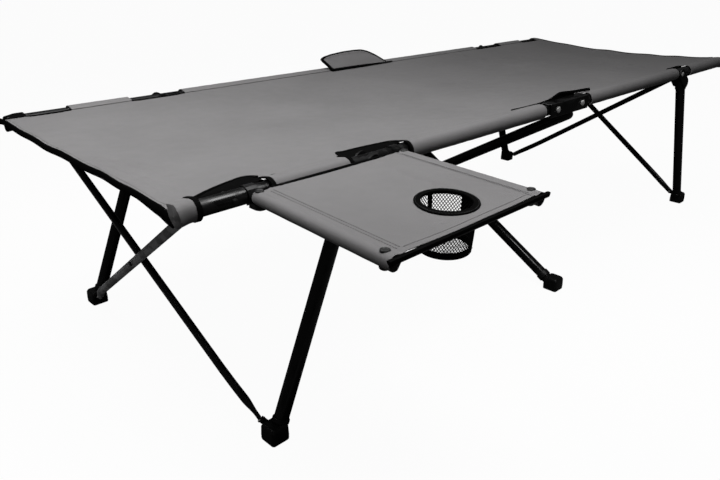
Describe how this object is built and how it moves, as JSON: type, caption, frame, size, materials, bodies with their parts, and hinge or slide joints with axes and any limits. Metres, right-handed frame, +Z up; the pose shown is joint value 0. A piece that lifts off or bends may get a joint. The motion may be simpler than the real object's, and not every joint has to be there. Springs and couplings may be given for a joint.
{
  "type": "camping cot",
  "caption": "Folding camping cot with a slung cloth deck on tube rails, crossed middle legs, inclined end legs with crossed braces, and a swing-out side table with a mesh cup pocket.",
  "frame": {"origin": "middle of the whole object's box, on the floor", "axes": "+X along the cot from the end with the side table to the other end, +Y from the side table's rail to the other rail, +Z up"},
  "size_m": [1.93, 1.0319, 0.497],
  "materials": {
    "black_paint": "black powder coat, satin",
    "black_plastic": "moulded, fine grain",
    "zinc": "bright zinc plate",
    "grey_cloth": "plain woven polyester",
    "black_cloth": "woven binding and open net"
  },
  "bodies": {
    "near_bracket": {"near_hinge_bracket": "black_paint", "left_near_hinge_bolt": "zinc", "right_near_hinge_bolt": "zinc", "near_middle_leg_pin": "zinc", "deck_middle": "grey_cloth"},
    "far_bracket": {"far_hinge_bracket": "black_paint", "left_far_hinge_bolt": "zinc", "right_far_hinge_bolt": "zinc", "far_middle_leg_pin": "zinc", "far_edge_flap": "grey_cloth"},
    "near_middle_leg": {"middle_leg_from_near_rail": "black_paint", "far_middle_boot": "black_plastic", "middle_leg_crossing_pin": "zinc"},
    "far_middle_leg": {"middle_leg_from_far_rail": "black_paint", "near_middle_boot": "black_plastic"},
    "left_near_rail": {"left_near_rail": "black_paint", "deck_left": "grey_cloth", "table_left_clamp": "black_paint", "table_right_clamp": "black_paint"},
    "left_far_rail": {"left_far_rail": "black_paint"},
    "right_near_rail": {"right_near_rail": "black_paint", "deck_right": "grey_cloth"},
    "right_far_rail": {"right_far_rail": "black_paint"},
    "left_near_leg": {"left_near_leg": "black_paint", "left_near_knuckle": "black_plastic", "left_near_knuckle_bolt": "zinc", "left_near_boot": "black_plastic"},
    "left_far_leg": {"left_far_leg": "black_paint", "left_far_knuckle": "black_plastic", "left_far_knuckle_bolt": "zinc", "left_far_boot": "black_plastic"},
    "right_near_leg": {"right_near_leg": "black_paint", "right_near_knuckle": "black_plastic", "right_near_knuckle_bolt": "zinc", "right_near_boot": "black_plastic"},
    "right_far_leg": {"right_far_leg": "black_paint", "right_far_knuckle": "black_plastic", "right_far_knuckle_bolt": "zinc", "right_far_boot": "black_plastic"},
    "left_near_swivel": {"left_near_brace_swivel": "black_paint"},
    "left_far_swivel": {"left_far_brace_swivel": "black_paint"},
    "right_near_swivel": {"right_near_brace_swivel": "black_paint"},
    "right_far_swivel": {"right_far_brace_swivel": "black_paint"},
    "left_near_brace": {"left_brace_from_near_rail": "black_paint", "left_brace_crossing_rivet": "zinc"},
    "left_far_brace": {"left_brace_from_far_rail": "black_paint"},
    "right_near_brace": {"right_brace_from_near_rail": "black_paint", "right_brace_crossing_rivet": "zinc"},
    "right_far_brace": {"right_brace_from_far_rail": "black_paint"},
    "table_left_tube": {"table_left_tube": "black_paint", "table_left_pivot_pin": "zinc"},
    "table_right_tube": {"table_right_tube": "black_paint", "table_right_pivot_pin": "zinc"},
    "table_edge_bar": {"table_edge_bar": "black_paint", "table_left_rivet": "zinc", "table_right_rivet": "zinc"},
    "cup_holder": {"table_cloth": "grey_cloth", "cup_hole_ring": "black_cloth", "cup_mesh_pocket": "black_cloth"}
  },
  "joints": [
    {"name": "middle_leg_fold", "type": "hinge", "parent": "near_bracket", "child": "near_middle_leg", "pos_m": [0.014, -0.213, 0.4435], "axis": [-1, 0, 0], "range_deg": [0, 51.85], "deforming": ["deck_left", "deck_middle", "deck_right"]},
    {"name": "middle_leg_crossing", "type": "hinge", "parent": "near_middle_leg", "child": "far_middle_leg", "pos_m": [0, 0.122, 0.2386], "axis": [1, 0, 0], "range_deg": [0, 103.7]},
    {"name": "far_bracket_fold", "type": "hinge", "parent": "far_middle_leg", "child": "far_bracket", "pos_m": [-0.014, 0.457, 0.4435], "axis": [-1, 0, 0], "range_deg": [0, 51.85]},
    {"name": "rail_fold", "type": "hinge", "parent": "near_bracket", "child": "left_near_rail", "pos_m": [-0.0535, -0.213, 0.4435], "axis": [0, -1, 0], "range_deg": [0, 60]},
    {"name": "right_near_rail_fold", "type": "hinge", "parent": "near_bracket", "child": "right_near_rail", "pos_m": [0.0535, -0.213, 0.4435], "axis": [0, 1, 0], "range_deg": [0, 60]},
    {"name": "left_far_rail_fold", "type": "hinge", "parent": "far_bracket", "child": "left_far_rail", "pos_m": [-0.0535, 0.457, 0.4435], "axis": [0, -1, 0], "range_deg": [0, 60]},
    {"name": "right_far_rail_fold", "type": "hinge", "parent": "far_bracket", "child": "right_far_rail", "pos_m": [0.0535, 0.457, 0.4435], "axis": [0, 1, 0], "range_deg": [0, 60]},
    {"name": "left_near_leg_fold", "type": "hinge", "parent": "left_near_rail", "child": "left_near_leg", "pos_m": [-0.63, -0.213, 0.4435], "axis": [0, -1, 0], "range_deg": [0, 111]},
    {"name": "left_far_leg_fold", "type": "hinge", "parent": "left_far_rail", "child": "left_far_leg", "pos_m": [-0.63, 0.457, 0.4435], "axis": [0, -1, 0], "range_deg": [0, 111]},
    {"name": "right_near_leg_fold", "type": "hinge", "parent": "right_near_rail", "child": "right_near_leg", "pos_m": [0.63, -0.213, 0.4435], "axis": [0, 1, 0], "range_deg": [0, 111]},
    {"name": "right_far_leg_fold", "type": "hinge", "parent": "right_far_rail", "child": "right_far_leg", "pos_m": [0.63, 0.457, 0.4435], "axis": [0, 1, 0], "range_deg": [0, 111]},
    {"name": "left_near_swivel_turn", "type": "hinge", "parent": "left_near_rail", "child": "left_near_swivel", "pos_m": [-0.9, -0.184, 0.4435], "axis": [0, -1, 0], "range_deg": [0, 78.3]},
    {"name": "left_far_swivel_turn", "type": "hinge", "parent": "left_far_rail", "child": "left_far_swivel", "pos_m": [-0.9, 0.428, 0.4435], "axis": [0, -1, 0], "range_deg": [0, 78.3]},
    {"name": "right_near_swivel_turn", "type": "hinge", "parent": "right_near_rail", "child": "right_near_swivel", "pos_m": [0.9, -0.184, 0.4435], "axis": [0, 1, 0], "range_deg": [0, 78.3]},
    {"name": "right_far_swivel_turn", "type": "hinge", "parent": "right_far_rail", "child": "right_far_swivel", "pos_m": [0.9, 0.428, 0.4435], "axis": [0, 1, 0], "range_deg": [0, 78.3]},
    {"name": "left_near_brace_fold", "type": "hinge", "parent": "left_near_swivel", "child": "left_near_brace", "pos_m": [-0.9, -0.184, 0.4435], "axis": [-0.9935, 0, -0.1142], "range_deg": [0, 53]},
    {"name": "left_far_brace_fold", "type": "hinge", "parent": "left_far_swivel", "child": "left_far_brace", "pos_m": [-0.9, 0.428, 0.4435], "axis": [0.9935, 0, 0.1142], "range_deg": [0, 53]},
    {"name": "right_near_brace_fold", "type": "hinge", "parent": "right_near_swivel", "child": "right_near_brace", "pos_m": [0.9, -0.184, 0.4435], "axis": [-0.9935, 0, 0.1142], "range_deg": [0, 53]},
    {"name": "right_far_brace_fold", "type": "hinge", "parent": "right_far_swivel", "child": "right_far_brace", "pos_m": [0.9, 0.428, 0.4435], "axis": [0.9935, 0, -0.1142], "range_deg": [0, 53]},
    {"name": "table_swing", "type": "hinge", "parent": "left_near_rail", "child": "table_left_tube", "pos_m": [-0.868, -0.239, 0.4445], "axis": [0, 0, 1], "range_deg": [0, 75], "deforming": ["table_cloth", "cup_mesh_pocket"]},
    {"name": "table_right_tube_swing", "type": "hinge", "parent": "left_near_rail", "child": "table_right_tube", "pos_m": [-0.57, -0.239, 0.4445], "axis": [0, 0, 1], "range_deg": [0, 75]},
    {"name": "table_edge_bar_swing", "type": "hinge", "parent": "table_left_tube", "child": "table_edge_bar", "pos_m": [-0.886, -0.493, 0.4445], "axis": [0, 0, -1], "range_deg": [0, 75]},
    {"name": "cup_holder_swing", "type": "hinge", "parent": "table_left_tube", "child": "cup_holder", "pos_m": [-0.88224, -0.44, 0.4445], "axis": [0, 0, -1], "range_deg": [0, 75]}
  ],
  "couplings": [
    {"joint": "middle_leg_crossing", "follows": "middle_leg_fold", "ratio": 2},
    {"joint": "far_bracket_fold", "follows": "middle_leg_fold", "ratio": 1},
    {"joint": "left_near_leg_fold", "follows": "middle_leg_fold", "ratio": 2.1407},
    {"joint": "left_far_leg_fold", "follows": "middle_leg_fold", "ratio": 2.1407},
    {"joint": "right_near_leg_fold", "follows": "middle_leg_fold", "ratio": 2.1407},
    {"joint": "right_far_leg_fold", "follows": "middle_leg_fold", "ratio": 2.1407},
    {"joint": "left_near_swivel_turn", "follows": "middle_leg_fold", "ratio": 1.5084},
    {"joint": "left_far_swivel_turn", "follows": "middle_leg_fold", "ratio": 1.5084},
    {"joint": "right_near_swivel_turn", "follows": "middle_leg_fold", "ratio": 1.5084},
    {"joint": "right_far_swivel_turn", "follows": "middle_leg_fold", "ratio": 1.5084},
    {"joint": "left_near_brace_fold", "follows": "middle_leg_fold", "ratio": 1.0208},
    {"joint": "left_far_brace_fold", "follows": "middle_leg_fold", "ratio": 1.0208},
    {"joint": "right_near_brace_fold", "follows": "middle_leg_fold", "ratio": 1.0208},
    {"joint": "right_far_brace_fold", "follows": "middle_leg_fold", "ratio": 1.0208},
    {"joint": "right_near_rail_fold", "follows": "rail_fold", "ratio": 1},
    {"joint": "left_far_rail_fold", "follows": "rail_fold", "ratio": 1},
    {"joint": "right_far_rail_fold", "follows": "rail_fold", "ratio": 1},
    {"joint": "table_right_tube_swing", "follows": "table_swing", "ratio": 1},
    {"joint": "table_edge_bar_swing", "follows": "table_swing", "ratio": 1},
    {"joint": "cup_holder_swing", "follows": "table_swing", "ratio": 1}
  ]
}
